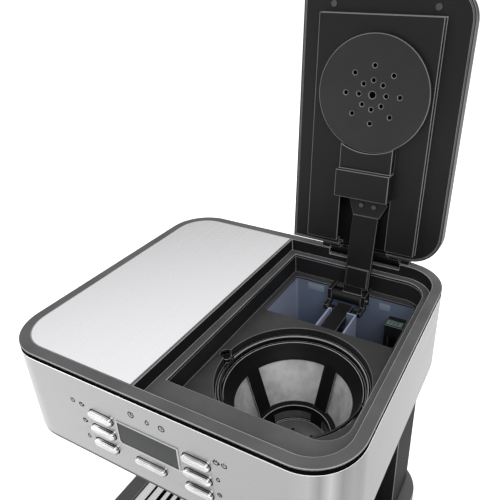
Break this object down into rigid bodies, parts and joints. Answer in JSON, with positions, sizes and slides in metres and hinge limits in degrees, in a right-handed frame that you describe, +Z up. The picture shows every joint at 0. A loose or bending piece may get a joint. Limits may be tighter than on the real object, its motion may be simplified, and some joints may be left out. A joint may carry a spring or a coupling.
{
  "type": "drip coffee maker",
  "caption": "Countertop drip and espresso coffee maker with a hinged lid over its filter well, a steel band, a cup plate, a carafe on a hot plate and a drip tray.",
  "frame": {"origin": "centre of the whole object's footprint box, on the surface that it stands on", "axes": "+Z up, -Y the front with the display, +X to the right of someone facing the front"},
  "size_m": [0.33, 0.3408, 0.6144],
  "materials": {
    "grey_plastic": "fine moulded texture",
    "dark_plastic": "satin",
    "black_plastic": "satin",
    "gloss_black": "gloss",
    "disc_plastic": "satin",
    "rubber": "matte",
    "brushed_steel": "satin brushed",
    "plate_steel": "fine brushed, bright",
    "bright_metal": "polished",
    "grate_steel": "satin",
    "mesh_metal": "woven mesh",
    "display_glass": "smooth",
    "tank_blue": "translucent, smooth",
    "carafe_glass": "clear",
    "plate_enamel": "non-stick coating",
    "board_green": "solder mask",
    "pump_body": "moulded"
  },
  "bodies": {
    "body": {"base_shell": "grey_plastic", "bottom_plate": "dark_plastic", "feet": "rubber", "bottom_screws": "bright_metal", "hot_plate": "plate_enamel", "plate_heater": "brushed_steel", "column_shell": "grey_plastic", "column_front": "dark_plastic", "back_cover": "dark_plastic", "power_gland": "black_plastic", "head_floor": "black_plastic", "steel_band": "brushed_steel", "seam_strip": "black_plastic", "top_frame": "grey_plastic", "brew_well": "dark_plastic", "top_plate": "plate_steel", "hinge_pin": "bright_metal", "display_bezel": "bright_metal", "display_lens": "display_glass", "display_module": "black_plastic", "control_board": "board_green", "group_head": "brushed_steel", "group_screen": "brushed_steel", "boiler": "brushed_steel", "pump": "pump_body", "wand_socket": "black_plastic", "water_tank": "tank_blue", "level_sensor": "black_plastic", "riser_tube": "brushed_steel", "riser_duct": "black_plastic", "arm_pin": "bright_metal"},
    "lid": {"lid_shell": "dark_plastic", "lid_liner": "dark_plastic", "shower_disc": "disc_plastic", "channel_cover": "dark_plastic", "lid_screws": "bright_metal"},
    "arm": {"water_arm": "dark_plastic", "arm_head": "black_plastic", "arm_screws": "bright_metal"},
    "holder": {"filter_holder": "gloss_black"},
    "bail": {"holder_bail": "gloss_black"},
    "valve": {"drip_valve": "gloss_black", "valve_spring": "bright_metal"},
    "filter": {"filter_frame": "gloss_black", "filter_mesh": "mesh_metal"},
    "carafe": {"carafe_glass": "carafe_glass", "carafe_band": "black_plastic", "carafe_handle": "black_plastic"},
    "carafe_cap": {"carafe_lid": "black_plastic"},
    "tray": {"drip_tray": "dark_plastic"},
    "grate": {"tray_grate": "grate_steel"},
    "wand": {"steam_wand": "bright_metal", "wand_sleeve": "rubber"},
    "key_left_top": {"button_left_top": "bright_metal"},
    "key_left_mid": {"button_left_mid": "bright_metal"},
    "key_left_low": {"button_left_low": "bright_metal"},
    "key_right_top": {"button_right_top": "bright_metal"},
    "key_right_mid": {"button_right_mid": "bright_metal"},
    "key_right_low": {"button_right_low": "bright_metal"},
    "key_centre": {"button_centre": "bright_metal"}
  },
  "joints": [
    {"name": "lid_hinge", "type": "hinge", "parent": "body", "child": "lid", "pos_m": [0.071, 0.1403, 0.3415], "axis": [-1, 0, 0], "range_deg": [-96.64, 0]},
    {"name": "arm_pivot", "type": "hinge", "parent": "body", "child": "arm", "pos_m": [0.063, 0.112, 0.297], "axis": [-1, 0, 0], "range_deg": [-83.9, 0]},
    {"name": "holder_lift", "type": "slide", "parent": "body", "child": "holder", "axis": [0, 0, 1], "range_m": [0, 0.11]},
    {"name": "bail_hinge", "type": "hinge", "parent": "holder", "child": "bail", "pos_m": [0.0704, -0.0343, 0.2975], "axis": [-1, 0, 0], "range_deg": [0, 170]},
    {"name": "valve_slide", "type": "slide", "parent": "holder", "child": "valve", "axis": [0, 0, 1], "range_m": [0, 0.0018], "stiffness_N_per_m": 400, "springref_m": -0.0005},
    {"name": "filter_lift", "type": "slide", "parent": "holder", "child": "filter", "axis": [0, 0, 1], "range_m": [0, 0.09]},
    {"name": "carafe_slide", "type": "slide", "parent": "body", "child": "carafe", "axis": [0, -1, 0], "range_m": [0, 0.2]},
    {"name": "carafe_cap_twist", "type": "hinge", "parent": "carafe", "child": "carafe_cap", "pos_m": [0.0704, -0.0343, 0.1872], "axis": [0, 0, 1], "range_deg": [0, 30]},
    {"name": "tray_lift", "type": "slide", "parent": "body", "child": "tray", "axis": [0, 0, 1], "range_m": [0, 0.05]},
    {"name": "grate_lift", "type": "slide", "parent": "tray", "child": "grate", "axis": [0, 0, 1], "range_m": [0, 0.04]},
    {"name": "wand_swivel", "type": "hinge", "parent": "body", "child": "wand", "pos_m": [-0.14, -0.06, 0.24], "axis": [0, 0, 1], "range_deg": [-60, 45]},
    {"name": "press_left_top", "type": "slide", "parent": "body", "child": "key_left_top", "axis": [0, 1, 0], "range_m": [0, 0.0015], "stiffness_N_per_m": 600, "springref_m": -0.0005},
    {"name": "press_left_mid", "type": "slide", "parent": "body", "child": "key_left_mid", "axis": [0, 1, 0], "range_m": [0, 0.0015], "stiffness_N_per_m": 600, "springref_m": -0.0005},
    {"name": "press_left_low", "type": "slide", "parent": "body", "child": "key_left_low", "axis": [0, 1, 0], "range_m": [0, 0.0015], "stiffness_N_per_m": 600, "springref_m": -0.0005},
    {"name": "press_right_top", "type": "slide", "parent": "body", "child": "key_right_top", "axis": [0, 1, 0], "range_m": [0, 0.0015], "stiffness_N_per_m": 600, "springref_m": -0.0005},
    {"name": "press_right_mid", "type": "slide", "parent": "body", "child": "key_right_mid", "axis": [0, 1, 0], "range_m": [0, 0.0015], "stiffness_N_per_m": 600, "springref_m": -0.0005},
    {"name": "press_right_low", "type": "slide", "parent": "body", "child": "key_right_low", "axis": [0, 1, 0], "range_m": [0, 0.0015], "stiffness_N_per_m": 600, "springref_m": -0.0005},
    {"name": "press_centre", "type": "slide", "parent": "body", "child": "key_centre", "axis": [0, 1, 0], "range_m": [0, 0.0015], "stiffness_N_per_m": 600, "springref_m": -0.0005}
  ],
  "couplings": [
    {"joint": "arm_pivot", "follows": "lid_hinge", "ratio": 0.868}
  ]
}
